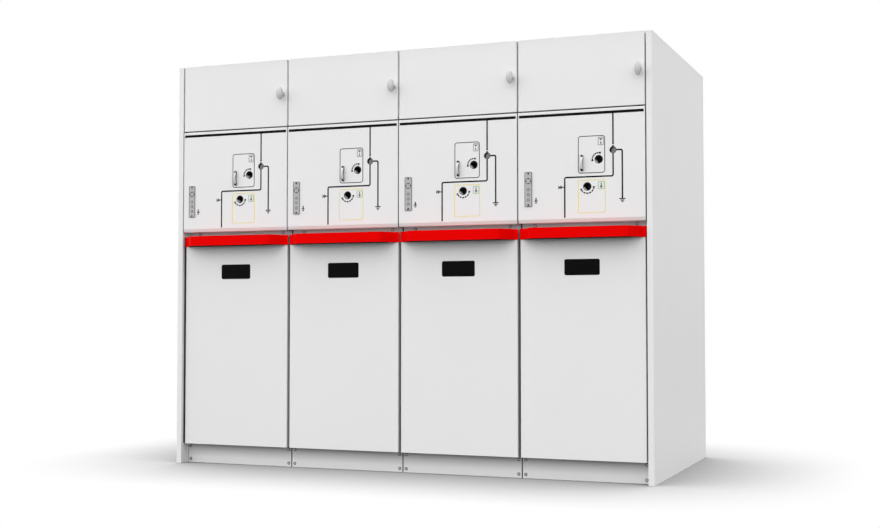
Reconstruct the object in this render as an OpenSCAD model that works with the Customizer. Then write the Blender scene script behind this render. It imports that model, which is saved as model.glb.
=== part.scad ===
// Line-up of four air-insulated switchgear cubicles. Millimetres, +Z up, the fronts face -Y.

/* [Line-up] */
// Width of one cubicle, seam to seam
cubicle_w = 500; // [480:10:600]
// Depth from the front plane to the rear covers
depth = 1046; // [900:2:1200]
// Thickness of the folded end panels
end_t = 26; // [20:1:40]
// Sheet thickness of walls, covers and fascias
sheet = 2; // [1.5:0.5:3]
// Setback of the frame's front plane, where the kick plates lie
frame_setback = 50; // [44:1:64]
// Width of the square posts in the cubicle's corners
post_w = 18; // [14:1:30]
// Gap between neighbouring kick plates and between neighbouring lintels
plate_gap = 5; // [2:0.5:6]

/* [Low-voltage door] */
// Height of the low-voltage door
door_h = 275.5; // [220:0.5:300]
// Gap around a low-voltage door
door_gap = 5.5; // [5:0.5:8]
// Depth of the door's folded edge
door_fold = 18; // [16:1:20]
// Outside radius of the door's upright bends
door_bend_r = 4; // [3:0.5:5]
// Pivot axis, inward from the door's hinge edge
pivot_in = 20; // [18:1:24]
// Pivot axis, back from the door's face
pivot_back = 7; // [6.5:0.5:8]
// Pivot pin radius
pin_r = 2.5; // [2:0.25:3]
// Radial running clearance of pins and knob stems
run_clear = 0.08; // [0.05:0.01:0.1]
// Depth of the low-voltage compartment
lv_depth = 300; // [200:10:420]

/* [Door knob] */
// Height of the oval grip
knob_h = 52; // [44:1:60]
// Width of the oval grip
knob_w = 23; // [18:1:28]
// Thickness of the oval grip
knob_t = 17; // [12:1:22]
// How far the grip's domed face falls back at its ends
knob_dome = 7.5; // [4:0.5:10]
// How far the grip stands out from the door
knob_reach = 38; // [30:1:42]
// Knob centre, inward from the door's free edge
knob_in = 20; // [18:1:40]
// Knob centre, above the door's lower edge
knob_up = 132.5; // [90:0.5:150]
// Radius of the knob's stem
knob_stem_r = 6; // [4:0.5:7]

/* [Fascia] */
// Seam between neighbouring fascias
seam = 5.5; // [3:0.5:6]
// Height of the fascia's flat front
fascia_h = 412.5; // [400:0.5:430]
// Setback of the fascia's sloping lower edge
slope_d = 5; // [4:1:20]
// Height of the fascia's sloping lower edge
slope_h = 14; // [8:1:20]
// Outside radius of the fascia's level bends
fascia_bend_r = 3; // [2.5:0.5:5]

/* [Fascia fittings] */
// Radius of the black operating seats
seat_r = 16; // [13:0.5:18]
// Radius of the socket in an operating seat
socket_r = 12; // [8:0.5:12]
// Depth of the socket in an operating seat
socket_d = 34; // [20:1:44]
// Bevel round the socket's mouth
socket_bevel = 2.5; // [1:0.5:3]
// Upper operating seat, right of the cubicle's centre
line_seat_x = 70.7; // [60:0.1:80]
// Upper operating seat, above the fascia's sloping edge
line_seat_up = 220.5; // [200:0.5:250]
// Lower operating seat, right of the cubicle's centre
earth_seat_x = 26; // [10:1:60]
// Lower operating seat, above the fascia's sloping edge
earth_seat_up = 119.5; // [80:0.5:150]
// Radius of the round position indicator
dial_r = 13.5; // [10:0.5:15]
// Position indicator, right of the cubicle's centre
dial_x = 126; // [115:1:150]
// Position indicator, above the fascia's sloping edge
dial_up = 253.5; // [220:0.5:300]
// Width of the voltage indicator plate
volt_w = 30; // [28:1:40]
// Height of the voltage indicator plate
volt_h = 133.5; // [110:0.5:140]
// How far the voltage indicator stands out
volt_t = 3; // [2:0.5:6]
// Voltage indicator's centre, inward from the cubicle's left seam
volt_in = 44; // [30:1:60]
// Voltage indicator's centre, above the fascia's sloping edge
volt_up = 116.5; // [80:0.5:200]
// Width of the lever beside the upper operating seat
lever_w = 10; // [9:1:16]
// Height of the lever
lever_h = 63; // [50:1:70]
// How far the lever's bowed back stands out
lever_t = 15; // [13:1:32]
// How far the lever's back falls towards its ends
lever_bow = 12; // [4:0.5:12]
// Depth of the finger waist on each side of the lever
lever_waist = 2; // [1:0.25:3]
// Lever, right of the cubicle's centre
lever_x = 6; // [0:1:20]
// Lever's centre, above the fascia's sloping edge
lever_up = 208.5; // [180:0.5:240]

/* [Lower cover] */
// Setback of the lower cover's face
cover_setback = 15; // [12:1:24]
// Gap between neighbouring lower covers
cover_gap = 12; // [10:0.5:16]
// Height of the lower cover's bottom edge
cover_z = 82; // [60:1:110]
// Height of the lower cover
cover_h = 876; // [800:1:1000]
// Strip of the lintel that shows between the cover and the fascia
lintel_show = 19.5; // [10:0.5:30]
// Width of the inspection window
window_w = 138; // [100:1:160]
// Height of the inspection window
window_h = 61; // [40:1:80]
// Inspection window's centre below the cover's top
window_drop = 150; // [110:1:250]
// Corner radius of the inspection window
window_r = 7; // [4:0.5:12]
// Height of the handle strap
strap_h = 41; // [30:1:50]
// Thickness of the handle strap
strap_t = 3; // [2:0.5:4]
// How far the strap bows out from the cover
strap_bow = 60; // [40:1:70]
// Length over which the strap slopes out at each end
strap_slope = 45; // [30:1:80]
// Length of the flat tab at each end of the strap
strap_tab = 13; // [8:1:24]
// How far the tabs reach past the cover's edges
strap_over = 2.5; // [0:0.5:4]
// Outside radius of the strap's front bends
strap_bend_r = 16; // [6:1:24]

/* [Base] */
// Height of the kick plate
kick_h = 110; // [100:1:130]
// Depth of the base rails' foot
rail_d = 80; // [60:1:110]
// Height of the base rails' web
rail_h = 70; // [50:1:90]
// Thickness of the base rails
rail_t = 4; // [3:0.5:6]
// Radius of the floor anchor holes
anchor_r = 7; // [5:0.5:9]
// Anchor holes, inward from the cubicle's seams
anchor_in = 50; // [40:1:80]

/* [Hidden] */
$fn = 48;

paint = [0.90, 0.90, 0.89];
zinc = [0.70, 0.71, 0.72];
black = [0.05, 0.05, 0.05];
red = [0.82, 0.02, 0.02];
grey = [0.60, 0.60, 0.61];

fit_gap = 0.3;
cut = 1; // how far a cutting shape runs past the face it opens

cubicles = [0, 1, 2, 3];
half_w = cubicle_w / 2;
row_half = 2 * cubicle_w;
plate_half = half_w - plate_gap / 2;
strap_front = cover_setback - strap_bow;
front_most = min(strap_front, -knob_reach);
front_y = -(depth + front_most) / 2;
wall_y = frame_setback + sheet;
rear_y = depth - sheet;

// the front is a stack, from the cover's bottom edge up to the roof
cover_top = cover_z + cover_h;
return_z = cover_top + lintel_show;
fascia_z = return_z + slope_h;
fascia_top = fascia_z + fascia_h;
door_z = fascia_top + door_gap;
cubicle_h = door_z + door_h;

panel_bend_r = 3;
panel_return = 40;
rear_cover_z = 20;
rear_cover_gap = 2;
lintel_lap_cover = 50;
lintel_lap_fascia = 10;

door_half = half_w - door_gap / 2;
pivot_x = -door_half + pivot_in;
swing_clear = 5;
// the door's folded corner swings behind the pivot on this reach
box_y = pivot_back + norm([pivot_in, door_fold - pivot_back]) + swing_clear;
box_z = door_z - door_gap / 2;
box_rim = 25;
hinge_rim = 56;

eye_r = pivot_back - sheet - fit_gap;
bracket_t = 4;
bracket_lean = 30;
pin_lift = 2;
pin_end = 0.2;
foot_half = 14;
foot_t = 3;
foot_drop = 18;
notch_h = pin_lift + bracket_t + 3;

nut_r = knob_stem_r + 4;
nut_t = 6;
rose_r = knob_stem_r + 3;
rose_t = 6;
stem_end = 9;

fascia_half = half_w - seam / 2;
line_seat_at = [line_seat_x, fascia_z + line_seat_up];
earth_seat_at = [earth_seat_x, fascia_z + earth_seat_up];
dial_at = [dial_x, fascia_z + dial_up];
volt_at = [-half_w + volt_in, fascia_z + volt_up];
lever_at = [lever_x, fascia_z + lever_up];
collar = 6;
seat_sink = 0.5;
seat_floor = 6;
dial_body = 8;
volt_corner_r = 4;
waist_share = 0.56; // of the lever's height

cover_half = half_w - cover_gap / 2;
cover_bend_r = 3;
window_z = cover_top - window_drop;
pane_sink = 0.4;
pane_rim = 8;
pane_t = 3;
strap_z = cover_top - strap_h;
strap_half = cover_half + strap_over;
strap_knee = strap_half - strap_tab;
strap_shoulder = strap_knee - strap_slope;
knee_r = 8;

anchor_x = half_w - anchor_in;
anchor_front = wall_y + sheet + (rail_d + rail_t) / 2;
anchor_rear = depth + frame_setback - anchor_front;

function cubicle_x(i) = (i - 1.5) * cubicle_w;

// radius of an arc from half its chord and its rise
function arc_r(half_chord, rise) = (half_chord * half_chord + rise * rise) / (2 * rise);

// points of the arc that rounds corner b between a and c
function corner_arc(a, b, c, r, steps = 8) =
  let (
    u = (a - b) / norm(a - b),
    v = (c - b) / norm(c - b),
    half = acos(u * v) / 2,
    centre = b + (u + v) / norm(u + v) * r / sin(half),
    from = b + u * r / tan(half),
    to = b + v * r / tan(half)
  )
  [for (k = [0 : steps])
    let (chord = from + (to - from) * k / steps - centre)
    centre + chord * r / norm(chord)];

// outline with its corners rounded by their own radii, 0 for a sharp one
function rounded(points, radii) =
  let (n = len(points))
  [for (k = [0 : n - 1])
    each radii[k] > 0
      ? corner_arc(points[(k + n - 1) % n], points[k], points[(k + 1) % n], radii[k])
      : [points[k]]];

// outline of an ellipse
function ellipse(w, h, step = 6) = [for (a = [0 : step : 360 - step]) [w / 2 * cos(a), h / 2 * sin(a)]];

// puts children at one cubicle's centre, in the frame of the front plane
module at_cubicle(i) {
  translate([cubicle_x(i), front_y, 0])
    children();
}

// a front view drawn in X and Z, made solid from y0 to y1
module front_plate(y0, y1) {
  translate([0, y1, 0])
    rotate([90, 0, 0])
      linear_extrude(height = y1 - y0)
        children();
}

// a side view drawn in Y and Z, made solid from x0 to x1
module side_plate(x0, x1) {
  translate([x0, 0, 0])
    rotate([90, 0, 90])
      linear_extrude(height = x1 - x0)
        children();
}

module block(x0, x1, y0, y1, z0, z1) {
  translate([x0, y0, z0])
    cube([x1 - x0, y1 - y0, z1 - z0]);
}

module round_rect(w, h, r) {
  square([w - 2 * r, h], center = true);
  square([w, h - 2 * r], center = true);
  for (sx = [-1, 1], sz = [-1, 1])
    translate([sx * (w / 2 - r), sz * (h / 2 - r)])
      circle(r = r);
}

// plan of a folded front sheet: face, two returns, round bends
module folded_plan(half, y0, y1, r) {
  difference() {
    union() {
      translate([-half + r, y0])
        square([2 * (half - r), y1 - y0]);
      translate([-half, y0 + r])
        square([2 * half, y1 - y0 - r]);
      for (sx = [-1, 1])
        translate([sx * (half - r), y0 + r])
          circle(r = r);
    }
    translate([-half + sheet, y0 + sheet])
      square([2 * (half - sheet), y1 - y0]);
  }
}

// right-hand end panel: a folded tray, open towards the cubicle wall
module end_panel() {
  inner = row_half + door_gap / 2;
  outer = row_half + end_t;
  bend = panel_bend_r;
  translate([0, front_y, 0])
    difference() {
      linear_extrude(height = cubicle_h) {
        translate([inner, 0])
          square([outer - bend - inner, depth]);
        translate([inner, bend])
          square([outer - inner, depth - 2 * bend]);
        translate([row_half, frame_setback])
          square([outer - bend - row_half, depth - frame_setback]);
        for (y = [bend, depth - bend])
          translate([outer - bend, y])
            circle(r = bend);
      }
      translate([0, 0, sheet])
        linear_extrude(height = cubicle_h - 2 * sheet) {
          translate([inner + sheet, sheet])
            square([outer - inner - 2 * sheet, depth - 2 * sheet]);
          translate([row_half - cut, frame_setback + panel_return])
            square([outer - row_half - sheet + cut, depth - frame_setback - 2 * panel_return]);
        }
    }
}

module end_panel_right() {
  color(paint)
    end_panel();
}

module end_panel_left() {
  color(paint)
    mirror([1, 0, 0])
      end_panel();
}

// right-hand wall sheet, which reaches further forward beside the low-voltage compartment
module wall() {
  side_plate(half_w - sheet, half_w)
    polygon([
      [wall_y, 0], [rear_y, 0], [rear_y, cubicle_h - sheet], [box_y, cubicle_h - sheet], [box_y, box_z], [wall_y, box_z]
    ]);
}

module cubicle_walls(i) {
  color(zinc)
    at_cubicle(i) {
      wall();
      mirror([1, 0, 0])
        wall();
    }
}

// square posts on the base rails: the front ones carry the low-voltage shelf, the rear ones reach the roof
module frame_posts() {
  outer = half_w - sheet;
  color(zinc)
    for (i = cubicles)
      at_cubicle(i)
        for (sx = [0, 1])
          mirror([sx, 0, 0]) {
            block(outer - post_w, outer, wall_y, wall_y + post_w, rail_h, box_z);
            block(outer - post_w, outer, rear_y - post_w, rear_y, rail_h, cubicle_h - sheet);
          }
}

module roof_plates() {
  color(paint)
    for (i = cubicles)
      at_cubicle(i)
        block(-fascia_half, fascia_half, box_y, depth, cubicle_h - sheet, cubicle_h);
}

module rear_covers() {
  color(paint)
    for (i = cubicles)
      at_cubicle(i)
        block(-fascia_half, fascia_half, rear_y, depth, rear_cover_z, cubicle_h - sheet - rear_cover_gap);
}

// side view of the front base rail
module rail_view() {
  translate([wall_y + sheet, 0])
    square([rail_d, rail_t]);
  translate([wall_y + sheet, 0])
    square([rail_t, rail_h]);
}

module rail_holes(y) {
  for (sx = [-1, 1])
    translate([sx * anchor_x, y, -cut])
      cylinder(r = anchor_r, h = rail_t + 2 * cut);
}

module base_rails_front() {
  color(zinc)
    for (i = cubicles)
      at_cubicle(i)
        difference() {
          side_plate(-half_w + sheet, half_w - sheet)
            rail_view();
          rail_holes(anchor_front);
        }
}

module base_rails_rear() {
  color(zinc)
    for (i = cubicles)
      at_cubicle(i)
        difference() {
          side_plate(-half_w + sheet, half_w - sheet)
            translate([depth + frame_setback, 0])
              mirror([1, 0])
                rail_view();
          rail_holes(anchor_rear);
        }
}

module kick_plates() {
  color(paint)
    for (i = cubicles)
      at_cubicle(i)
        block(-plate_half, plate_half, frame_setback, wall_y, 0, kick_h);
}

module lintels() {
  low = cover_top - lintel_lap_cover;
  high = fascia_z + lintel_lap_fascia;
  color(paint)
    for (i = cubicles)
      at_cubicle(i)
        block(-plate_half, plate_half, frame_setback, wall_y, low, high);
}

// floor of each low-voltage compartment
module lv_shelves() {
  x = half_w - sheet;
  color(zinc)
    for (i = cubicles)
      at_cubicle(i)
        block(-x, x, box_y, box_y + lv_depth, box_z, box_z + sheet);
}

module lv_backs() {
  x = half_w - sheet;
  back = box_y + lv_depth;
  color(zinc)
    for (i = cubicles)
      at_cubicle(i)
        block(-x, x, back - sheet, back, box_z + sheet, cubicle_h - sheet);
}

// frame round the compartment's mouth, wider at the hinge side, where it carries the pivot brackets
module lv_rims() {
  x = half_w - sheet;
  top = cubicle_h - sheet;
  color(zinc)
    for (i = cubicles)
      at_cubicle(i)
        difference() {
          block(-x, x, box_y, box_y + sheet, box_z + sheet, top);
          block(-x + hinge_rim, x - box_rim, box_y - cut, box_y + sheet + cut, box_z + box_rim, top - box_rim);
        }
}

// plan of a pivot arm, leaning away from the hinge edge so the folded edge can pass
module arm_plan() {
  run = box_y - pivot_back;
  circle(r = eye_r);
  difference() {
    rotate([0, 0, -bracket_lean])
      translate([-eye_r, 0])
        square([2 * eye_r, 2 * run]);
    translate([-3 * run, run])
      square([6 * run, 3 * run]);
  }
  translate([run * tan(bracket_lean) - foot_half, run - foot_t])
    square([2 * foot_half, foot_t]);
}

// one bracket, its pin pointing up from z = 0
module pivot_bracket() {
  run = box_y - pivot_back;
  foot_x = run * tan(bracket_lean);
  mid = pin_lift + bracket_t / 2;
  translate([0, 0, -pin_lift - bracket_t])
    linear_extrude(height = bracket_t)
      arm_plan();
  translate([0, 0, -mid])
    cylinder(r = pin_r + cut, h = mid - fit_gap);
  translate([0, 0, -mid])
    cylinder(r = pin_r, h = mid + sheet - pin_end);
  block(foot_x - foot_half, foot_x + foot_half, run - foot_t, run,
    -pin_lift - bracket_t - foot_drop, -pin_lift);
}

module pivot_brackets() {
  color(zinc)
    for (i = cubicles)
      at_cubicle(i)
        translate([pivot_x, pivot_back, 0]) {
          translate([0, 0, cubicle_h - sheet])
            pivot_bracket();
          translate([0, 0, door_z + sheet])
            mirror([0, 0, 1])
              pivot_bracket();
        }
}

// flush door tray with pivot holes in its top and bottom folds and passing notches at the hinge edge
module lv_door(i) {
  color(paint)
    at_cubicle(i)
      difference() {
        union() {
          translate([0, 0, door_z])
            linear_extrude(height = door_h)
              folded_plan(door_half, 0, door_fold, door_bend_r);
          for (z = [door_z, cubicle_h - sheet])
            block(-door_half + sheet / 2, door_half - sheet / 2, sheet / 2, door_fold, z, z + sheet);
        }
        translate([pivot_x, pivot_back, door_z - cut])
          cylinder(r = pin_r + run_clear, h = door_h + 2 * cut);
        for (z = [door_z + sheet, cubicle_h - sheet - notch_h])
          block(-door_half - cut, -door_half + sheet + fit_gap, sheet + fit_gap, door_fold + cut, z, z + notch_h);
        translate([door_half - knob_in, sheet + cut, door_z + knob_up])
          rotate([90, 0, 0])
            cylinder(r = knob_stem_r + run_clear, h = sheet + 2 * cut);
      }
}

// domed oval grip on a stem through the door, with a rose in front of the sheet and a nut behind it
module lv_knob(i) {
  dome_r = arc_r(knob_h / 2, knob_dome);
  color(grey)
    at_cubicle(i)
      translate([door_half - knob_in, 0, door_z + knob_up]) {
        intersection() {
          front_plate(-knob_reach, -knob_reach + knob_t)
            polygon(ellipse(knob_w, knob_h));
          translate([0, -knob_reach + dome_r, 0])
            sphere(r = dome_r);
        }
        front_plate(-knob_reach + knob_t / 2, sheet + stem_end)
          circle(r = knob_stem_r);
        front_plate(sheet + fit_gap, sheet + nut_t)
          circle(r = nut_r);
        front_plate(-fit_gap - rose_t, -fit_gap)
          circle(r = rose_r);
      }
}

// side view of the folded fascia, drawn back from its front by one sheet or none
module fascia_view(back, bend_r) {
  lean = atan2(slope_d, slope_h);
  low = fascia_z + back * tan(lean / 2);
  deep = slope_d + back * tan((90 - lean) / 2);
  rear = frame_setback + back;
  polygon(rounded(
    [[back, fascia_top - back], [back, low], [deep, return_z + back], [rear, return_z + back], [rear, fascia_top - back]],
    [bend_r, bend_r, bend_r, 0, 0]));
}

module fascia(i) {
  color(paint)
    at_cubicle(i)
      difference() {
        side_plate(-fascia_half, fascia_half)
          fascia_view(0, fascia_bend_r);
        side_plate(-fascia_half + sheet, fascia_half - sheet)
          fascia_view(sheet, fascia_bend_r - sheet);
        front_plate(-cut, sheet + cut) {
          translate(line_seat_at)
            circle(r = seat_r + fit_gap);
          translate(earth_seat_at)
            circle(r = seat_r + fit_gap);
          translate(dial_at)
            circle(r = dial_r + fit_gap);
        }
      }
}

// black socket for the operating lever, clamped behind the fascia sheet
module seat(at) {
  translate([at[0], 0, at[1]])
    rotate([90, 0, 0])
      difference() {
        union() {
          translate([0, 0, -sheet])
            cylinder(r = seat_r, h = sheet - seat_sink);
          translate([0, 0, -socket_d - seat_floor])
            cylinder(r = seat_r + collar, h = socket_d + seat_floor - sheet);
        }
        translate([0, 0, -socket_d])
          cylinder(r = socket_r, h = socket_d + cut);
        translate([0, 0, -seat_sink - socket_bevel])
          cylinder(r1 = socket_r, r2 = socket_r + socket_bevel, h = socket_bevel);
      }
}

module line_seats() {
  color(black)
    for (i = cubicles)
      at_cubicle(i)
        seat(line_seat_at);
}

module earth_seats() {
  color(black)
    for (i = cubicles)
      at_cubicle(i)
        seat(earth_seat_at);
}

// flag disc behind its round hole in the fascia
module position_indicators() {
  color(grey)
    for (i = cubicles)
      at_cubicle(i)
        translate([dial_at[0], 0, dial_at[1]])
          front_plate(sheet, sheet + dial_body)
            circle(r = dial_r + collar);
}

module voltage_indicators() {
  color(grey)
    for (i = cubicles)
      at_cubicle(i)
        translate([volt_at[0], 0, volt_at[1]])
          front_plate(-volt_t, 0)
            round_rect(volt_w, volt_h, volt_corner_r);
}

// front view of the lever, with a shallow waist for the fingers on each side
module lever_view() {
  waist_r = arc_r(waist_share * lever_h / 2, lever_waist);
  difference() {
    round_rect(lever_w, lever_h, lever_w / 2 - 0.01);
    for (sx = [-1, 1])
      translate([sx * (lever_w / 2 - lever_waist + waist_r), 0])
        circle(r = waist_r);
  }
}

module locking_levers() {
  bow_r = arc_r(lever_h / 2, lever_bow);
  color(paint)
    for (i = cubicles)
      at_cubicle(i)
        translate([lever_at[0], 0, lever_at[1]])
          intersection() {
            front_plate(-lever_t, 0)
              lever_view();
            translate([-lever_w, bow_r - lever_t, 0])
              rotate([0, 90, 0])
                cylinder(r = bow_r, h = 2 * lever_w, $fn = 96);
          }
}

module window_view(w, h) {
  translate([0, window_z])
    round_rect(w, h, window_r);
}

module lower_cover(i) {
  color(paint)
    at_cubicle(i)
      difference() {
        union() {
          translate([0, 0, cover_z])
            linear_extrude(height = cover_h)
              folded_plan(cover_half, cover_setback, frame_setback, cover_bend_r);
          for (z = [cover_z, cover_top - sheet])
            block(-cover_half + sheet / 2, cover_half - sheet / 2, cover_setback + sheet / 2, frame_setback, z, z + sheet);
        }
        front_plate(cover_setback - cut, cover_setback + sheet + cut)
          window_view(window_w + 2 * fit_gap, window_h + 2 * fit_gap);
      }
}

// plan of the bowed handle: flat tabs on the cover, two slopes and a straight front
module handle_plan() {
  tab_y = cover_setback - strap_t;
  half = [[strap_shoulder, strap_front], [strap_knee, tab_y], [strap_half, tab_y], [strap_half, cover_setback]];
  radii = [strap_bend_r, knee_r, 0, 0];
  polygon(rounded(
    concat(half, [for (k = [3 : -1 : 0]) [-half[k][0], half[k][1]]]),
    concat(radii, [for (k = [3 : -1 : 0]) radii[k]])));
}

// hollow behind the slopes and the front, one strap thickness in
module handle_hollow() {
  lean = atan2(strap_bow - strap_t, strap_slope);
  front = [strap_shoulder - strap_t * tan(lean / 2), strap_front + strap_t];
  end = [front[0] + (strap_bow - strap_t) / tan(lean), cover_setback];
  polygon(rounded(
    [front, end, [-end[0], end[1]], [-front[0], front[1]]],
    [strap_bend_r - strap_t, 0, 0, strap_bend_r - strap_t]));
}

// bowed trough, closed below, that is gripped over its upper edge
module cover_handle(i) {
  color(red)
    at_cubicle(i)
      translate([0, 0, strap_z])
        difference() {
          linear_extrude(height = strap_h)
            handle_plan();
          translate([0, 0, strap_t])
            linear_extrude(height = strap_h)
              handle_hollow();
        }
}

module inspection_windows() {
  color(black)
    for (i = cubicles)
      at_cubicle(i) {
        front_plate(cover_setback + pane_sink, cover_setback + sheet)
          window_view(window_w, window_h);
        front_plate(cover_setback + sheet, cover_setback + sheet + pane_t)
          window_view(window_w + 2 * pane_rim, window_h + 2 * pane_rim);
      }
}

end_panel_left();
end_panel_right();
cubicle_walls(0);  // cubicle_walls_1
cubicle_walls(1);  // cubicle_walls_2
cubicle_walls(2);  // cubicle_walls_3
cubicle_walls(3);  // cubicle_walls_4
frame_posts();
roof_plates();
rear_covers();
base_rails_front();
base_rails_rear();
kick_plates();
lintels();
pivot_brackets();
lv_shelves();
lv_backs();
lv_rims();
lv_door(0);  // lv_door_1
lv_door(1);  // lv_door_2
lv_door(2);  // lv_door_3
lv_door(3);  // lv_door_4
lv_knob(0);  // lv_knob_1
lv_knob(1);  // lv_knob_2
lv_knob(2);  // lv_knob_3
lv_knob(3);  // lv_knob_4
fascia(0);  // fascia_1
fascia(1);  // fascia_2
fascia(2);  // fascia_3
fascia(3);  // fascia_4
line_seats();
earth_seats();
position_indicators();
voltage_indicators();
locking_levers();
lower_cover(0);  // lower_cover_1
lower_cover(1);  // lower_cover_2
lower_cover(2);  // lower_cover_3
lower_cover(3);  // lower_cover_4
cover_handle(0);  // cover_handle_1
cover_handle(1);  // cover_handle_2
cover_handle(2);  // cover_handle_3
cover_handle(3);  // cover_handle_4
inspection_windows();
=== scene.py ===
import math

import bmesh
import bpy
import numpy as np
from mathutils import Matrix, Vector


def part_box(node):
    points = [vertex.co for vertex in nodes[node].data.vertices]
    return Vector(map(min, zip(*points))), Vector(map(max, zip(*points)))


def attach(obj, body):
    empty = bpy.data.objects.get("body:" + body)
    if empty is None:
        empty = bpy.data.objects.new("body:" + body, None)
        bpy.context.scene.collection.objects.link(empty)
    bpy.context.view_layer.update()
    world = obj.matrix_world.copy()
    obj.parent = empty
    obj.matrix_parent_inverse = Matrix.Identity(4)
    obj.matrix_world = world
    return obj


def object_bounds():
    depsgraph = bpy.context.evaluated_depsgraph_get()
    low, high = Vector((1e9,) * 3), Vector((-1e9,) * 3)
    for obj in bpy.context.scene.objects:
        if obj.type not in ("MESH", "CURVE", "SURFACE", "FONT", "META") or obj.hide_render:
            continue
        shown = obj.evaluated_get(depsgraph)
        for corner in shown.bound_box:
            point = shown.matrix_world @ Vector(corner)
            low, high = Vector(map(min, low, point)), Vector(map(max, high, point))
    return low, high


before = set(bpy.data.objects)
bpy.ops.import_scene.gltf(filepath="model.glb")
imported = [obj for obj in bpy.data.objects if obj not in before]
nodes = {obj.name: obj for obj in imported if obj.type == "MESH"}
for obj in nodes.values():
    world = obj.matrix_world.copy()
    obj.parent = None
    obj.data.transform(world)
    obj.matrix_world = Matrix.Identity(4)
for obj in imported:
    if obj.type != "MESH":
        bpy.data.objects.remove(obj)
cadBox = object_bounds()

row = {  # measures of the row in metres, the same as the solids'
    "pitch": 0.5,
    "count": 4,
    "front": float(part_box("fascia_1")[0][1]),
    "coverFace": float(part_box("lower_cover_1")[0][1]),
    "coverSpan": tuple(float(end[2]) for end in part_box("lower_cover_1")),
    "frameFace": float(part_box("kick_plates")[0][1]),
    "dialFace": float(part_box("position_indicators")[0][1]),
    "handleFoot": float(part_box("cover_handle_1")[0][2]) + 0.0006,  # just above the handles' underside
    "top": float(cadBox[1][2]),
    "back": float(cadBox[1][1]),
}
seams = (np.arange(row["count"]) - row["count"] / 2) * row["pitch"]  # left seam of each cubicle
seats = {  # operating seats, with the radius and the degrees of the scale marks round each
    "line": {"middle": (0.3207, 1.212), "radius": 0.0248, "sweep": (76, 190)},
    "earth": {"middle": (0.276, 1.111), "radius": 0.0258, "sweep": (-4, -156)},
}


class Wire:
    # one output socket, whose operators add Math nodes to its tree
    def __init__(self, finish, socket):
        self.finish = finish
        self.socket = socket

    def __add__(self, other):
        return self.finish.maths("ADD", self, other)

    def __sub__(self, other):
        return self.finish.maths("SUBTRACT", self, other)

    def __rsub__(self, other):
        return self.finish.maths("SUBTRACT", other, self)

    def __mul__(self, other):
        return self.finish.maths("MULTIPLY", self, other)

    def __truediv__(self, other):
        return self.finish.maths("DIVIDE", self, other)

    def __pow__(self, other):
        return self.finish.maths("POWER", self, other)

    def __gt__(self, other):
        return self.finish.maths("GREATER_THAN", self, other)

    def __lt__(self, other):
        return self.finish.maths("LESS_THAN", self, other)

    __radd__ = __add__
    __rmul__ = __mul__


class Finish:
    # the node tree of a new material, or of the world handed in
    def __init__(self, name, world=None):
        self.owner = world or bpy.data.materials.new(name)
        self.owner.use_nodes = True
        self.tree = self.owner.node_tree
        self.tree.nodes.clear()
        self.output = self.tree.nodes.new("ShaderNodeOutputWorld" if world else "ShaderNodeOutputMaterial")

    def node(self, kind, settings=None, sockets=None, out=0):
        made = self.tree.nodes.new(kind)
        for key, value in (settings or {}).items():
            setattr(made, key, value)
        for key, value in (sockets or {}).items():
            if isinstance(value, Wire):
                self.tree.links.new(value.socket, made.inputs[key])
            else:
                made.inputs[key].default_value = value
        return Wire(self, made.outputs[out])

    def maths(self, operation, *terms):
        return self.node("ShaderNodeMath", {"operation": operation}, dict(enumerate(terms)))

    def place(self):
        return self.node("ShaderNodeTexCoord", out="Object")

    def axis(self, name):
        return self.node("ShaderNodeSeparateXYZ", {}, {0: self.place()}, out=name)

    def noise(self, scale, detail=3.0, rough=0.5):
        sockets = {"Vector": self.place(), "Scale": scale, "Detail": detail, "Roughness": rough}
        return self.node("ShaderNodeTexNoise", {}, sockets)

    def blendColour(self, factor, first, second):
        sockets = {"Factor": factor, 6: first, 7: second}
        return self.node("ShaderNodeMix", {"data_type": "RGBA"}, sockets, out=2)

    def bump(self, relief, strength, depth):
        return self.node("ShaderNodeBump", {}, {"Height": relief, "Strength": strength, "Distance": depth})

    def seenRay(self):
        # 1 for what the camera sees, also in a mirror or through glass, and 0 for light that falls on things
        kinds = ("Is Camera Ray", "Is Glossy Ray", "Is Transmission Ray")
        camera, glossy, through = (self.node("ShaderNodeLightPath", out=kind) for kind in kinds)
        return self.maths("MAXIMUM", self.maths("MAXIMUM", camera, glossy), through)

    def close(self, shader):
        self.tree.links.new(shader.socket, self.output.inputs["Surface"])
        return self.owner

    def surface(self, sockets):
        return self.close(self.node("ShaderNodeBsdfPrincipled", {}, sockets))


def rgb(red, green, blue):
    # a screen colour, 0 to 255, as the linear colour that the shader takes
    share = np.array([red, green, blue]) / 255
    linear = np.where(share <= 0.04045, share / 12.92, ((share + 0.055) / 1.055) ** 2.4)
    return (*linear.tolist(), 1.0)


def grey(level):
    return rgb(level, level, level)


coat = {  # powder coat: scales of its three noises, shares of the finest, the peel's gloss and depth, and the colour of painted shade under the handles
    "cloud": 3.0, "peel": 620.0, "grain": 2600.0, "grainTone": 0.3, "grainRelief": 0.25,
    "peelGloss": 0.12, "bump": 0.10, "bumpDepth": 0.0004, "underShadeColour": grey(14),
}
seamShade = {  # painted shade in the folds of the seams: reach from a seam line, where it starts behind each face, and its colour
    "reach": 0.0085, "fascia": 0.008, "cover": 0.005, "end": 0.001, "frame": 0.0004, "colour": grey(58),
}
coverShade = {  # painted shade on the upper part of the kick plates, under the covers
    "from": 0.026, "reach": 0.05, "depth": 0.42, "soften": 0.2, "colour": grey(40),
}


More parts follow.
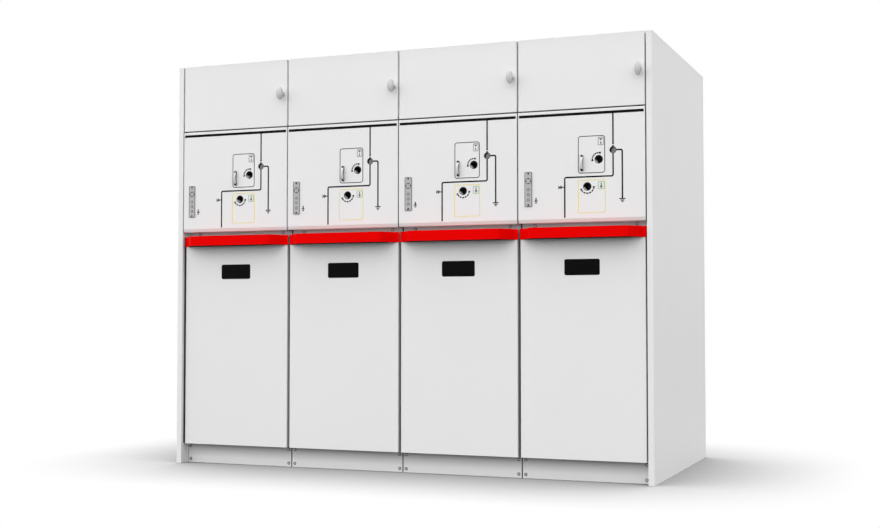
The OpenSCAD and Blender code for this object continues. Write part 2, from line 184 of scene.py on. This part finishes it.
def powderCoat(name, light, dark, rough=0.50, gloss=0.35, seamShadeDepth=None, seamShadeShare=0.85, seamShadeSpan=None,
               shadeBelow=None, coverShadeFrom=None):
    # cloudy tone, a fine orange peel and a still finer grain; where these are given:
    # seamShadeDepth: folds deeper than this and within reach of a seam get painted shade, between two heights
    # if set
    # shadeBelow: painted shade makes the sheet below this height dark
    # coverShadeFrom: painted shade darkens the sheet from this height up
    finish = Finish(name)
    cloud = finish.noise(coat["cloud"], 2.0)
    peel = finish.noise(coat["peel"], 2.0)
    grain = finish.noise(coat["grain"], 1.0)
    tone = finish.blendColour(cloud * (1 - coat["grainTone"]) + grain * coat["grainTone"], dark, light)
    # painted shade: folds behind the face and near a seam turn dark
    if seamShadeDepth is not None:
        along = finish.axis("X") + row["pitch"] * 2 * row["count"]  # whole pitches, so that it stays positive
        fromSeam = finish.maths("PINGPONG", along, row["pitch"] / 2)
        shadedSeam = (fromSeam < seamShade["reach"]) * (finish.axis("Y") > seamShadeDepth)
        if seamShadeSpan is not None:
            shadedSeam = shadedSeam * (finish.axis("Z") > seamShadeSpan[0]) * (finish.axis("Z") < seamShadeSpan[1])
        tone = finish.blendColour(shadedSeam * seamShadeShare, tone, seamShade["colour"])
    # painted shade on the underside
    if shadeBelow is not None:
        tone = finish.blendColour(finish.axis("Z") < shadeBelow, tone, coat["underShadeColour"])
    # painted shade under the covers' lower edge
    if coverShadeFrom is not None:
        rise = finish.maths("MAXIMUM", (finish.axis("Z") - coverShadeFrom) / coverShade["reach"], 0.0)
        share = finish.maths("SMOOTH_MIN", rise, 1.0, coverShade["soften"])
        tone = finish.blendColour(share * coverShade["depth"], tone, coverShade["colour"])
    relief = peel * (1 - coat["grainRelief"]) + grain * coat["grainRelief"]
    return finish.surface({
        "Base Color": tone,
        "Roughness": rough + (peel - 0.5) * coat["peelGloss"],
        "Normal": finish.bump(relief, coat["bump"], coat["bumpDepth"]),
        "Specular IOR Level": gloss,
    })


zincLook = {  # spangled zinc, and painted shade on the front edges of sheets that meet in a seam
    "cells": 70.0, "haze": 14.0, "hazeTone": 0.4, "dark": rgb(150, 154, 157), "light": rgb(196, 199, 200),
    "metal": 0.85, "rough": 0.34, "cellRough": 0.16, "bump": 0.05, "bumpDepth": 0.0006,
    "edgeShadeWidth": 0.022, "edgeShadeColour": grey(12),
}


def zincSheet(name, edgeShaded=False):
    # a cell pattern shifts tone and gloss, with a faint rolling grain
    z = zincLook
    finish = Finish(name)
    sockets = {"Vector": finish.place(), "Scale": z["cells"]}
    cells = finish.node("ShaderNodeTexVoronoi", {}, sockets, out="Color")
    spangle = finish.node("ShaderNodeSeparateColor", {}, {"Color": cells})
    haze = finish.noise(z["haze"], 4.0)
    tone = finish.blendColour(spangle * (1 - z["hazeTone"]) + haze * z["hazeTone"], z["dark"], z["light"])
    metal = z["metal"]
    # painted shade: a dark band on the sheet's front edge, inside the seams
    if edgeShaded:
        clearOfShade = finish.axis("Y") > row["frameFace"] + z["edgeShadeWidth"]
        tone = finish.blendColour(clearOfShade, z["edgeShadeColour"], tone)
        metal = clearOfShade * z["metal"]
    return finish.surface({
        "Base Color": tone,
        "Metallic": metal,
        "Roughness": z["rough"] + spangle * z["cellRough"],
        "Normal": finish.bump(haze, z["bump"], z["bumpDepth"]),
    })


moulded = {  # moulded plastic: scales of a slow drift and of a fine grain, the grain's relief, and the colour of painted shade
    "drift": 22.0, "fine": 1500.0, "grainRough": 0.2, "bump": 0.12, "bumpDepth": 0.0003, "behindShade": grey(104),
}


def mouldedPlastic(name, light, dark, rough, grainSize, shadedBehind=None):
    # a leather-like grain, slightly paler on its crests; where a depth is given, walls behind it carry painted
    # shade
    finish = Finish(name)
    grain = finish.noise(grainSize, 3.0, 0.6)
    drift = finish.noise(moulded["drift"], 2.0)
    tone = finish.blendColour(grain * 0.5 + drift * 0.5, dark, light)
    # painted shade on the walls behind that depth
    if shadedBehind is not None:
        tone = finish.blendColour(finish.axis("Y") > shadedBehind, tone, moulded["behindShade"])
    return finish.surface({
        "Base Color": tone,
        "Roughness": rough + (grain - 0.5) * moulded["grainRough"],
        "Normal": finish.bump(grain, moulded["bump"], moulded["bumpDepth"]),
    })


seatLight = {  # painted light on a seat's socket wall: depths behind the front, and margins from the seat's middle
    "from": 0.001, "to": 0.026, "below": 0.001, "left": 0.003, "least": 0.8, "colour": grey(205),
}


def seatPlastic(name, middle):
    # black plastic seat with painted light on its socket wall between two depths, left of the middle and below
    # it, where light from above falls
    finish = Finish(name)
    grain = finish.noise(moulded["fine"], 3.0, 0.6)
    behind = finish.axis("Y") - row["front"]
    fromSeam = finish.maths("FLOORED_MODULO", finish.axis("X") - float(seams[0]), row["pitch"])
    inside = (behind > seatLight["from"]) * (behind < seatLight["to"])
    lowerLeft = (finish.axis("Z") < middle[1] - seatLight["below"]) * (fromSeam < middle[0] - seatLight["left"])
    litWall = inside * lowerLeft * (seatLight["least"] + grain * (1 - seatLight["least"]))
    black = finish.blendColour(grain, grey(10), grey(24))
    return finish.surface({
        "Base Color": finish.blendColour(litWall, black, seatLight["colour"]),
        "Roughness": 0.5 + (grain - 0.5) * moulded["grainRough"],
        "Normal": finish.bump(grain, moulded["bump"], moulded["bumpDepth"]),
        "Specular IOR Level": 0.3,
    })


def tintedPane(name):
    # dark pane: near black, with a faint smear in its gloss
    finish = Finish(name)
    smear = finish.noise(36.0, 4.0)
    return finish.surface({
        "Base Color": finish.blendColour(smear, grey(2), grey(10)),
        "Roughness": 0.38 + smear * 0.14,
        "Specular IOR Level": 0.06,
    })


def printedInk(name, light, dark):
    # screen-printed ink, or matt rubber: a dense colour with a slight mottle and hardly any shine
    finish = Finish(name)
    mottle = finish.noise(900.0, 2.0)
    return finish.surface({
        "Base Color": finish.blendColour(mottle, dark, light),
        "Roughness": 0.55 + mottle * 0.1,
        "Specular IOR Level": 0.08,
    })


def platedSteel(name):
    # bright-plated screws: small scuffs vary the gloss
    finish = Finish(name)
    scuff = finish.noise(1400.0, 3.0)
    return finish.surface({
        "Base Color": finish.blendColour(scuff, rgb(176, 177, 178), rgb(214, 215, 216)),
        "Metallic": 0.35,
        "Roughness": 0.36 + scuff * 0.22,
    })


white = (grey(236), rgb(231, 231, 232))  # light and dark tone of the doors, fascias, covers and panels
leverBack = 0.0085  # depth of the levers' front, behind which their side walls carry painted shade
paint = powderCoat("frontPaint", *white)
# fascias, covers and end panels carry painted shade in the folds of their seams
fasciaPaint = powderCoat("fasciaPaint", *white, seamShadeDepth=row["front"] + seamShade["fascia"])
coverPaint = powderCoat("coverPaint", *white, seamShadeDepth=row["coverFace"] + seamShade["cover"], seamShadeShare=0.35)
endPaint = powderCoat("endPaint", *white, seamShadeDepth=row["coverFace"] + seamShade["end"], seamShadeShare=0.95,
                      seamShadeSpan=row["coverSpan"])
# kick plates: painted shade in their seams and under the covers
plinthPaint = powderCoat("plinthPaint", grey(228), rgb(222, 222, 223),
                         seamShadeDepth=row["frameFace"] + seamShade["frame"], coverShadeFrom=coverShade["from"])
# lintels: mid grey, its darkness partly painted shade for the deep cavity under the fascias, with painted
# shade in the seams
frameGreyAndShade = powderCoat("frameGreyAndShade", grey(192), rgb(184, 184, 185),
                        seamShadeDepth=row["frameFace"] + seamShade["frame"], seamShadeShare=0.95)
# red paint, with painted shade on the handles' underside
handleRed = powderCoat("handleRed", rgb(237, 0, 0), rgb(231, 0, 0), 0.60, 0.02, shadeBelow=row["handleFoot"])
zinc = zincSheet("zincSheet")
edgeShadedZinc = zincSheet("edgeShadedZinc", True)
lineSeatBlack = seatPlastic("lineSeatBlack", seats["line"]["middle"])
earthSeatBlack = seatPlastic("earthSeatBlack", seats["earth"]["middle"])
capBlack = mouldedPlastic("capBlack", grey(20), grey(8), 0.6, moulded["fine"])
pane = tintedPane("tintedPane")
indicatorGrey = mouldedPlastic("indicatorGrey", rgb(192, 192, 193), rgb(170, 170, 172), 0.5, 420.0)
dialGrey = mouldedPlastic("dialGrey", grey(118), grey(98), 0.4, 700.0)
gripGrey = mouldedPlastic("gripGrey", grey(204), rgb(192, 192, 193), 0.5, 1300.0)
leverGrey = mouldedPlastic("leverGrey", grey(222), rgb(210, 210, 211), 0.5, 1300.0, row["front"] - leverBack)
inkBlack = printedInk("inkBlack", grey(20), grey(8))
inkGrey = printedInk("inkGrey", grey(30), grey(16))
inkYellow = printedInk("inkYellow", rgb(238, 224, 140), rgb(230, 214, 124))
inkGreen = printedInk("inkGreen", rgb(112, 176, 92), rgb(92, 160, 74))
# painted shade: black for the strips in the gaps between lintels
gapShadeBlack = printedInk("gapShadeBlack", grey(14), grey(6))
screwSteel = platedSteel("screwSteel")
print("materials made")

nodeFinish = {  # by the start of the solid's name, plain paint for the rest
    "fascia": fasciaPaint, "lower_cover": coverPaint, "end_panel": endPaint,
    "lintels": frameGreyAndShade, "kick_plates": plinthPaint, "cover_handle": handleRed,
    "cubicle_walls": edgeShadedZinc, "frame_posts": edgeShadedZinc, "base_rails": zinc, "pivot_brackets": zinc,
    "lv_shelves": zinc, "lv_backs": zinc, "lv_rims": zinc,
    "line_seats": lineSeatBlack, "earth_seats": earthSeatBlack, "inspection_windows": pane,
    "voltage_indicators": indicatorGrey, "position_indicators": dialGrey,
    "lv_knob": gripGrey, "locking_levers": leverGrey,
}
for name, solid in nodes.items():
    chosen = next((finish for start, finish in nodeFinish.items() if name.startswith(start)), paint)
    solid.data.materials.clear()
    solid.data.materials.append(chosen)
print("solids painted")


def gridQuads(rows, columns, wrapRows=False, wrapColumns=False):
    # corner numbers of the quads of a rows x columns grid of points
    r = np.arange(rows if wrapRows else rows - 1)[:, None]
    c = np.arange(columns if wrapColumns else columns - 1)[None, :]
    r2 = (r + 1) % rows
    c2 = (c + 1) % columns
    quads = np.stack([r * columns + c, r * columns + c2, r2 * columns + c2, r2 * columns + c], axis=-1)
    return quads.reshape(-1, 4)


def copies(points, quads, places):
    # the same mesh at several places, as one list of points and quads
    places = np.asarray(places, float).reshape(-1, 1, 3)
    many = (points[None] + places).reshape(-1, 3)
    shift = (np.arange(len(places)) * len(points))[:, None, None]
    return many, (quads[None] + shift).reshape(-1, 4)


def joined(parts):
    # several meshes as one list of points and quads
    pointLists, quadLists = zip(*parts)
    starts = np.cumsum([0] + [len(points) for points in pointLists[:-1]])
    shifted = [quads + start for quads, start in zip(quadLists, starts)]
    return np.concatenate(pointLists), np.concatenate(shifted)


def alongRow(mesh):
    # one cubicle's mesh repeated at every seam
    return copies(*mesh, [(x, 0, 0) for x in seams])


def closePoles(data):
    # points that lie on each other, as at a pole, become one
    shell = bmesh.new()
    shell.from_mesh(data)
    bmesh.ops.remove_doubles(shell, verts=shell.verts, dist=1e-7)
    shell.to_mesh(data)
    shell.free()


def meshObject(name, mesh, finish):
    points, quads = mesh
    data = bpy.data.meshes.new(name)
    data.from_pydata(points.tolist(), [], quads.tolist())
    closePoles(data)
    data.materials.append(finish)
    made = bpy.data.objects.new(name, data)
    bpy.context.scene.collection.objects.link(made)
    return made


def addPiece(name, mesh, finish, body, smooth=False):
    piece = meshObject(name, mesh, finish)
    if smooth:
        piece.data.shade_smooth()
    else:
        piece.data.shade_flat()
    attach(piece, body)


ink = {"lift": 0.00025, "sharpest": 0.3}  # how far a print stands off its sheet, and a limit to its mitres


def strip(x, z, width, closed=False, face=row["front"]):
    # flat strip along a path on the front: each path point moves half the width to both sides along the
    # mean normal of its two neighbours, and the four corners of a thin rectangle are carried along
    path = np.stack([np.asarray(x, float), np.asarray(z, float)], axis=1)
    if closed:
        ahead = np.roll(path, -1, axis=0) - path
        behind = path - np.roll(path, 1, axis=0)
    else:
        step = np.diff(path, axis=0)
        ahead = np.concatenate([step, step[-1:]])
        behind = np.concatenate([step[:1], step])
    ahead = ahead / np.linalg.norm(ahead, axis=1, keepdims=True)
    behind = behind / np.linalg.norm(behind, axis=1, keepdims=True)
    mean = ahead + behind
    mean = mean / np.linalg.norm(mean, axis=1, keepdims=True)
    stretch = 1 / np.maximum((mean * ahead).sum(axis=1), ink["sharpest"])
    normal = np.stack([-mean[:, 1], mean[:, 0]], axis=1) * (stretch * width / 2)[:, None]
    side = np.array([-1, 1, 1, -1])
    depth = np.array([1, 1, -1, -1]) * ink["lift"] / 2
    flat = path[:, None, :] + side[None, :, None] * normal[:, None, :]
    points = np.empty((len(path), 4, 3))
    points[..., 0] = flat[..., 0]
    points[..., 1] = face - ink["lift"] / 2 + depth
    points[..., 2] = flat[..., 1]
    quads = gridQuads(len(path), 4, wrapRows=closed, wrapColumns=True)
    if not closed:
        last = (len(path) - 1) * 4
        ends = np.array([[3, 2, 1, 0], [last, last + 1, last + 2, last + 3]])
        quads = np.concatenate([quads, ends])
    return points.reshape(-1, 3), quads


def arc(middle, radius, start, end, steps=7):
    # points of an arc, angles in degrees from +X towards +Z
    turn = np.radians(np.linspace(start, end, steps))
    return middle[0] + radius * np.cos(turn), middle[1] + radius * np.sin(turn)


def chain(*runs):
    # one path from several runs of points
    return np.concatenate([x for x, z in runs]), np.concatenate([z for x, z in runs])


def roundedBox(left, right, lower, upper, radius):
    # closed outline of a box: a quarter arc at each corner, turning on from the one before
    middles = [
        (right - radius, upper - radius), (left + radius, upper - radius),
        (left + radius, lower + radius), (right - radius, lower + radius),
    ]
    return chain(*(arc(middle, radius, 90 * k, 90 * k + 90) for k, middle in enumerate(middles)))


mimic = {  # single-line diagram, and a painted shadow crescent on the dial, measured from the cubicle's left seam and the floor
    "lineWidth": 0.0057, "bend": 0.006,
    "busZ": 1.388, "busFrom": 0.006, "busTo": 0.493, "busWidth": 0.0105,
    "dropEnd": 1.270, "dotRadius": 0.0019,
    "dial": (0.376, 1.245), "dialEdge": 0.0125, "tipEnd": 0.0185, "tipWidth": 0.006,
    # painted shadow: a black crescent on the dial's upper left, where the rim of its hole would shade it
    "dialShadeRadius": 0.0099, "dialShadeSweep": (80, 220), "dialShadeWidth": 0.0072,
    "earthX": 0.411, "earthEnd": 1.061,
    "feedX": 0.188, "feedZ": 1.1475, "feedEnd": 0.995,
}
signs = {  # x, z and width of each printed stroke, from the same two lines
    "lineEarth": (
        ((0.399, 0.423), (1.061, 1.061), 0.0038),
        ((0.404, 0.418), (1.0552, 1.0552), 0.0038),
        ((0.4075, 0.4145), (1.0498, 1.0498), 0.0038),
    ),
    "feedArrow": (
        ((0.163, 0.188), (1.111, 1.111), 0.0032),
        ((0.170, 0.178, 0.170), (1.117, 1.111, 1.105), 0.0034),
        ((0.162, 0.170, 0.162), (1.117, 1.111, 1.105), 0.0022),
    ),
    "plateEarth": (
        ((0.074, 0.074), (1.0745, 1.0620), 0.0046),
        ((0.0680, 0.0800), (1.0620, 1.0620), 0.0042),
        ((0.0700, 0.0780), (1.0552, 1.0552), 0.0040),
    ),
    "seatEarth": (
        ((0.330, 0.330), (1.123, 1.110), 0.0032),
        ((0.3245, 0.3355), (1.110, 1.110), 0.0026),
        ((0.3265, 0.3335), (1.1068, 1.1068), 0.0022),
        ((0.3284, 0.3316), (1.1040, 1.1040), 0.0018),
    ),
    "forkedLever": (
        ((0.329, 0.329), (1.291, 1.283), 0.0026),
        ((0.323, 0.329, 0.335), (1.291, 1.286, 1.291), 0.0024),
        ((0.329, 0.329), (1.269, 1.2785), 0.0034),
    ),
}
frames = {  # printed frames: left, right, lower and upper edge, corner radius and line width
    "upper": ((0.242, 0.344, 1.162, 1.301), 0.009, 0.0028),
    "lower": ((0.241, 0.345, 1.012, 1.135), 0.005, 0.0026),
    "forkedLever": ((0.319, 0.339, 1.266, 1.295), 0.003, 0.0016),
    "seatEarth": ((0.3185, 0.3415, 1.100, 1.127), 0.003, 0.0018),
}
scale = {"dashes": 6, "dashWidth": 0.0050, "dashShare": 0.76, "tick": 0.0080, "tickWidth": 0.0040}


def mimicLinesAndDialShade(m):
    # bus bar, its drop and dot, the dial's tip, a painted shadow crescent on the dial, and two lines that
    # leave the dial round bends
    x, z = m["dial"]
    r = m["bend"]
    bus = strip([m["busFrom"], m["busTo"]], [m["busZ"]] * 2, m["busWidth"])
    drop = strip([x, x], [m["busZ"], m["dropEnd"]], m["lineWidth"])
    dot = strip(*arc((x, m["dropEnd"]), m["dotRadius"], 0, 330, 12), 2 * m["dotRadius"], closed=True)
    tip = strip([x, x], [z + m["dialEdge"], z + m["tipEnd"]], m["tipWidth"])
    # painted shadow crescent on the dial's upper left
    bow = arc(m["dial"], m["dialShadeRadius"], *m["dialShadeSweep"], 16)
    dialShade = strip(*bow, m["dialShadeWidth"], face=row["dialFace"])
    earth = strip(*chain(
        ([x + m["dialEdge"]], [z]),
        arc((m["earthX"] - r, z - r), r, 90, 0),
        ([m["earthX"]], [m["earthEnd"]])), m["lineWidth"])
    feed = strip(*chain(
        ([x], [z - m["dialEdge"]]),
        arc((x - r, m["feedZ"] + r), r, 0, -90),
        arc((m["feedX"] + r, m["feedZ"] - r), r, 90, 180),
        ([m["feedX"]], [m["feedEnd"]])), m["lineWidth"])
    return [bus, drop, dot, tip, dialShade, earth, feed]


def seatMarks(seat):
    # dashes along an arc, each over the same share of its angle, and a short tick across each end
    x, z = seat["middle"]
    edges = np.linspace(*seat["sweep"], scale["dashes"] + 1)
    marks = []
    for start, end in zip(edges[:-1], edges[1:]):
        dash = arc((x, z), seat["radius"], start, start + scale["dashShare"] * (end - start), 5)
        marks.append(strip(*dash, scale["dashWidth"]))
    for angle in np.radians(seat["sweep"]):
        reach = seat["radius"] + np.array([-0.5, 0.5]) * scale["tick"]
        marks.append(strip(x + reach * np.cos(angle), z + reach * np.sin(angle), scale["tickWidth"]))
    return marks


def signStrokes(name):
    # one strip along each stroke of a sign
    return [strip(*stroke) for stroke in signs[name]]


def frameLine(name):
    # one closed strip round a box
    edges, radius, width = frames[name]
    return strip(*roundedBox(*edges, radius), width, closed=True)


# black print, with the painted shadow crescent on each dial
blackPrintAndDialShade = mimicLinesAndDialShade(mimic) + seatMarks(seats["line"]) + seatMarks(seats["earth"])
for name in ("lineEarth", "feedArrow", "plateEarth", "seatEarth"):
    blackPrintAndDialShade += signStrokes(name)
greyPrint = [frameLine("upper"), frameLine("forkedLever"), *signStrokes("forkedLever")]
addPiece("mimic_print_and_dial_shade", alongRow(joined(blackPrintAndDialShade)), inkBlack, "enclosure")
addPiece("frame_print", alongRow(joined(greyPrint)), inkGrey, "enclosure")
addPiece("earth_frame_print", alongRow(frameLine("lower")), inkYellow, "enclosure")
addPiece("earth_sign_print", alongRow(frameLine("seatEarth")), inkGreen, "enclosure")
print("prints made")


def fullTurn(steps):
    return np.linspace(0, 2 * np.pi, steps, endpoint=False)[None, :]


def ringMesh(radius, height, turn, loop=False):
    # rings about an axis that points out of the front, towards -Y: each point lies at the ring's radius and
    # height; a loop joins the last ring to the first
    points = np.stack([radius * np.cos(turn), -height + 0 * turn, radius * np.sin(turn)], axis=-1)
    quads = gridQuads(len(points), turn.size, wrapRows=loop, wrapColumns=True)[:, ::-1]
    return points.reshape(-1, 3), quads


def turned(radius, shape, steps, loop=False):
    # profile turned about that axis, given as shares of the radius and as heights
    shares, heights = np.array(shape)[..., None]
    return ringMesh(radius * shares, heights, fullTurn(steps), loop)


sink = 0.0001  # how far small fittings stand in their sheet
screw = {  # pan head; its dome in shares of radius and height
    "radius": 0.0043, "height": 0.0026, "recess": 0.0015, "arm": 0.0025, "waist": 0.0009,
    "dome": ((0.66, 0.93), (0.88, 0.70), (1.0, 0.34)),
    "kickPlaces": [(x, z) for x in (0.014, 0.486) for z in (0.0145, 0.0705)],
    "lintelPlaces": [(x, 0.9695) for x in (0.0545, 0.4545)],
}
shadeWasher = {  # dark flat ring with a soft outer edge, under a screw head: a sealing washer that also stands in for the shade round the head
    "radius": 0.0064, "shape": ((0.46875, 0.46875, 0.94, 1.0, 1.0), (-sink, 0.0009, 0.0009, 0.00054, -sink)),
}
gapShade = {"width": 0.0055, "span": [float(end[2]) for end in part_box("lintels")]}  # dark strip between two lintels, painted shade in their gap


def screwHead(s):
    # pan head with a cross recess: the recess radius swings between waist and arm four times a turn,
    # and rings step from its floor to its lip, over the dome and down the rim
    turn = fullTurn(32)
    cross = s["waist"] + (s["arm"] - s["waist"]) * np.cos(2 * turn) ** 6
    one = np.ones_like(turn)
    floor = s["height"] - s["recess"]
    rings = [(0.0 * cross, floor), (0.90 * cross, floor), (cross, 0.99 * s["height"])]
    rings += [(s["radius"] * share * one, s["height"] * up) for share, up in s["dome"]]
    rings += [(s["radius"] * one, -sink), (0.0 * one, -sink)]
    radius = np.concatenate([ring for ring, up in rings])
    height = np.array([up for ring, up in rings])[:, None]
    return ringMesh(radius, height, turn)


def onFrame(mesh, places):
    # a small mesh on the frame's face, at (x, z) places of every cubicle
    return copies(*mesh, [(seam + x, row["frameFace"], z) for seam in seams for x, z in places])


kickScrews = onFrame(screwHead(screw), screw["kickPlaces"])
lintelScrews = onFrame(screwHead(screw), screw["lintelPlaces"])
shadeWashers = onFrame(turned(shadeWasher["radius"], shadeWasher["shape"], 32, loop=True),
                  screw["kickPlaces"] + screw["lintelPlaces"])
gapShades = [strip([x, x], gapShade["span"], gapShade["width"], face=row["frameFace"]) for x in seams[1:]]
addPiece("kick_screws", kickScrews, screwSteel, "enclosure", True)
addPiece("lintel_screws", lintelScrews, screwSteel, "enclosure", True)
addPiece("seam_gap_shade", joined(gapShades), gapShadeBlack, "enclosure")
addPiece("screw_shade_washers", shadeWashers, capBlack, "enclosure", True)
print("screws made")

indicator = {  # voltage indicator plate, from its centre; shapes in shares of a radius, and heights
    "centre": (0.044, 1.10775), "face": float(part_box("voltage_indicators")[0][1]),
    "jacksUp": (-0.0005, -0.0205, -0.0405), "jackRadius": 0.0040, "ringWidth": 0.0017,
    "jackShape": ((0.0, 0.45, 0.5, 0.92, 1.0, 1.0, 0.0),
                  (0.0004, 0.0004, 0.0014, 0.0016, 0.0012, -sink, -sink)),
    "portUp": 0.0315, "portRadius": 0.0118,
    "portShape": ((0.84, 0.88, 0.96, 1.0), (-sink, 0.0008, 0.0008, -sink)),
    "pinSpread": 0.0084, "pinRadius": 0.0021, "pinAngles": (0, 90, 180, 270),
    "pinShape": ((0.0, 0.9, 1.0, 1.0, 0.0), (0.0005, 0.0005, 0.0003, -sink, -sink)),
    "screwsUp": (0.0600, -0.0600),
    "screw": dict(screw, radius=0.0036, height=0.0016, recess=0.0011, arm=0.0022),
    "outline": (0.0140, 0.0658), "outlineRadius": 0.004, "outlineWidth": 0.0016,
}


def indicatorParts(i):
    # rimmed jacks in a column, a ring-shaped port with pins round its middle, and a screw at each end
    x, z = i["centre"]
    y = i["face"]
    portZ = z + i["portUp"]
    turn = np.radians(i["pinAngles"])
    pinX = x + i["pinSpread"] * np.cos(turn)
    pinZ = portZ + i["pinSpread"] * np.sin(turn)
    jacks = copies(*turned(i["jackRadius"], i["jackShape"], 24), [(x, y, z + up) for up in i["jacksUp"]])
    port = copies(*turned(i["portRadius"], i["portShape"], 32, loop=True), [(x, y, portZ)])
    pins = copies(*turned(i["pinRadius"], i["pinShape"], 16), [(px, y, pz) for px, pz in zip(pinX, pinZ)])
    heads = copies(*screwHead(i["screw"]), [(x, y, z + up) for up in i["screwsUp"]])
    return jacks, joined([port, pins]), heads


def indicatorLines(i):
    # thin outline of the plate and a ring round each jack
    x, z = i["centre"]
    halfX, halfZ = i["outline"]
    box = roundedBox(x - halfX, x + halfX, z - halfZ, z + halfZ, i["outlineRadius"])
    lines = [strip(*box, i["outlineWidth"], closed=True, face=i["face"])]
    for up in i["jacksUp"]:
        ring = arc((x, z + up), i["jackRadius"] + i["ringWidth"] / 2, 0, 345, 24)
        lines.append(strip(*ring, i["ringWidth"], closed=True, face=i["face"]))
    return lines


jacks, ports, heads = indicatorParts(indicator)
platePrint = joined(indicatorLines(indicator))
addPiece("indicator_jacks", alongRow(jacks), indicatorGrey, "enclosure", True)
addPiece("indicator_print", alongRow(platePrint), inkGrey, "enclosure")
addPiece("indicator_ports", alongRow(ports), capBlack, "enclosure", True)
addPiece("indicator_screws", alongRow(heads), capBlack, "enclosure", True)
print("indicators made")

lever = {  # black end caps on the bowed lever beside the upper seat
    "middle": (0.256, 1.200), "face": float(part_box("locking_levers")[0][1]), "length": 0.063, "bow": 0.012,
    "capsUp": (0.0265, -0.0265), "capRadius": 0.0044,
    "capShape": ((0.0, 0.55, 0.85, 1.0, 1.0, 0.0), (0.0009, 0.0009, 0.0007, 0.0003, -0.0002, -0.0002)),
}


def leverCaps(v):
    # low round caps on the lever's bowed back: rings about each cap's middle, every point set back by the
    # arc's fall at its height (radius less the root of radius squared less height squared) and lifted by a
    # low profile
    bowRadius = ((v["length"] / 2) ** 2 + v["bow"] ** 2) / (2 * v["bow"])
    turn = fullTurn(24)
    share, lift = np.array(v["capShape"])[..., None]
    caps = []
    for up in v["capsUp"]:
        x = v["middle"][0] + v["capRadius"] * share * np.cos(turn)
        z = up + v["capRadius"] * share * np.sin(turn)
        y = v["face"] + bowRadius - np.sqrt(bowRadius ** 2 - z ** 2) - lift
        points = np.stack([x, y, v["middle"][1] + z], axis=-1).reshape(-1, 3)
        caps.append((points, gridQuads(len(share), turn.size, wrapColumns=True)[:, ::-1]))
    return joined(caps)


addPiece("lever_caps", alongRow(leverCaps(lever)), capBlack, "enclosure", True)
print("lever caps made")

studio = {
    "camera": (2.0666, -4.7491 + row["front"], 0.6315), "yaw": 21.676, "pitch": 2.190, "lens": 53.255,
    "sensor": 36.0, "farthest": 200.0,
    "dome": 1.79, "sideFall": 0.25,  # light of the dome, and how much of it fades towards the right
    "floorRings": (0.0, 1.0, 4.0, 30.0), "floorDrop": 0.0005, "floorBounce": 0.03,
    "shadowReach": 0.7, "shadowDepth": 1.3, "shadowSamples": 24,
    "scrimLift": 0.02, "scrimOver": 0.012, "scrimPass": 0.45,
}
plainWhite = (1.0, 1.0, 1.0, 1.0)

eye = bpy.data.cameras.new("eye")
eye.sensor_fit = "HORIZONTAL"
eye.sensor_width = studio["sensor"]
eye.lens = studio["lens"]
eye.clip_end = studio["farthest"]
eyeObject = bpy.data.objects.new("eye", eye)
eyeObject.location = studio["camera"]
eyeObject.rotation_euler = (math.radians(90 + studio["pitch"]), 0.0, math.radians(studio["yaw"]))
bpy.context.scene.collection.objects.link(eyeObject)
bpy.context.scene.camera = eyeObject


def floorFinish(s):
    # white floor that keeps the row's shadow: the share of open air within reach of each spot, raised to a
    # power; it throws little light back up
    finish = Finish("paleFloor")
    settings = {"samples": s["shadowSamples"]}
    openAir = finish.node("ShaderNodeAmbientOcclusion", settings, {"Distance": s["shadowReach"]}, out="AO")
    glow = {"Color": plainWhite, "Strength": openAir ** s["shadowDepth"]}
    shown = finish.node("ShaderNodeEmission", {}, glow)
    dim = finish.node("ShaderNodeBsdfDiffuse", {}, {"Color": (s["floorBounce"],) * 3 + (1.0,)})
    return finish.close(finish.node("ShaderNodeMixShader", {}, {0: finish.seenRay(), 1: dim, 2: shown}))


def scrimFinish(s):
    # gauze over the roof, which would be the palest face of all under the open dome
    finish = Finish("scrim")
    gauze = {"Color": (s["scrimPass"],) * 3 + (1.0,)}
    return finish.close(finish.node("ShaderNodeBsdfTransparent", {}, gauze))


def floorDisc(s):
    # disc of rings just under the row
    turn = fullTurn(64)
    rings = np.array(s["floorRings"])[:, None]
    level = -s["floorDrop"] + 0 * rings * turn
    points = np.stack([rings * np.cos(turn), rings * np.sin(turn), level], axis=-1)
    return points.reshape(-1, 3), gridQuads(len(rings), turn.size, wrapColumns=True)


def scrimSheet(s):
    # level sheet close over the roof, hardly wider than it, so that the fronts see almost none of it
    over = s["scrimOver"]
    across = np.array([cadBox[0][0] - over, cadBox[1][0] + over])
    along = np.array([row["front"] - over, row["back"] + over])
    x, y = np.meshgrid(across, along)
    z = np.full_like(x, row["top"] + s["scrimLift"])
    return np.stack([x, y, z], axis=-1).reshape(-1, 3), gridQuads(2, 2)


def addStage(name, mesh, finish):
    prop = meshObject(name, mesh, finish)
    return prop


addStage("floor", floorDisc(studio), floorFinish(studio))
scrim = addStage("scrim", scrimSheet(studio), scrimFinish(studio))
scrim.visible_camera = False
scrim.visible_glossy = False
scrim.visible_transmission = False


def studioSky(s):
    # even dome of light, fading towards the right, that looks plain white where it is seen
    sky = bpy.data.worlds.new("studioSky")
    finish = Finish("studioSky", sky)
    towards = finish.node("ShaderNodeTexCoord", out="Generated")
    right = finish.node("ShaderNodeSeparateXYZ", {}, {0: towards}, out="X")
    light = (1 - right * s["sideFall"]) * s["dome"]
    dome = finish.node("ShaderNodeBackground", {}, {"Color": plainWhite, "Strength": light})
    plain = finish.node("ShaderNodeBackground", {}, {"Color": plainWhite, "Strength": 1.0})
    finish.close(finish.node("ShaderNodeMixShader", {}, {0: finish.seenRay(), 1: dome, 2: plain}))
    return sky


bpy.context.scene.world = studioSky(studio)
bpy.context.scene.view_settings.view_transform = "Standard"
print("studio made")
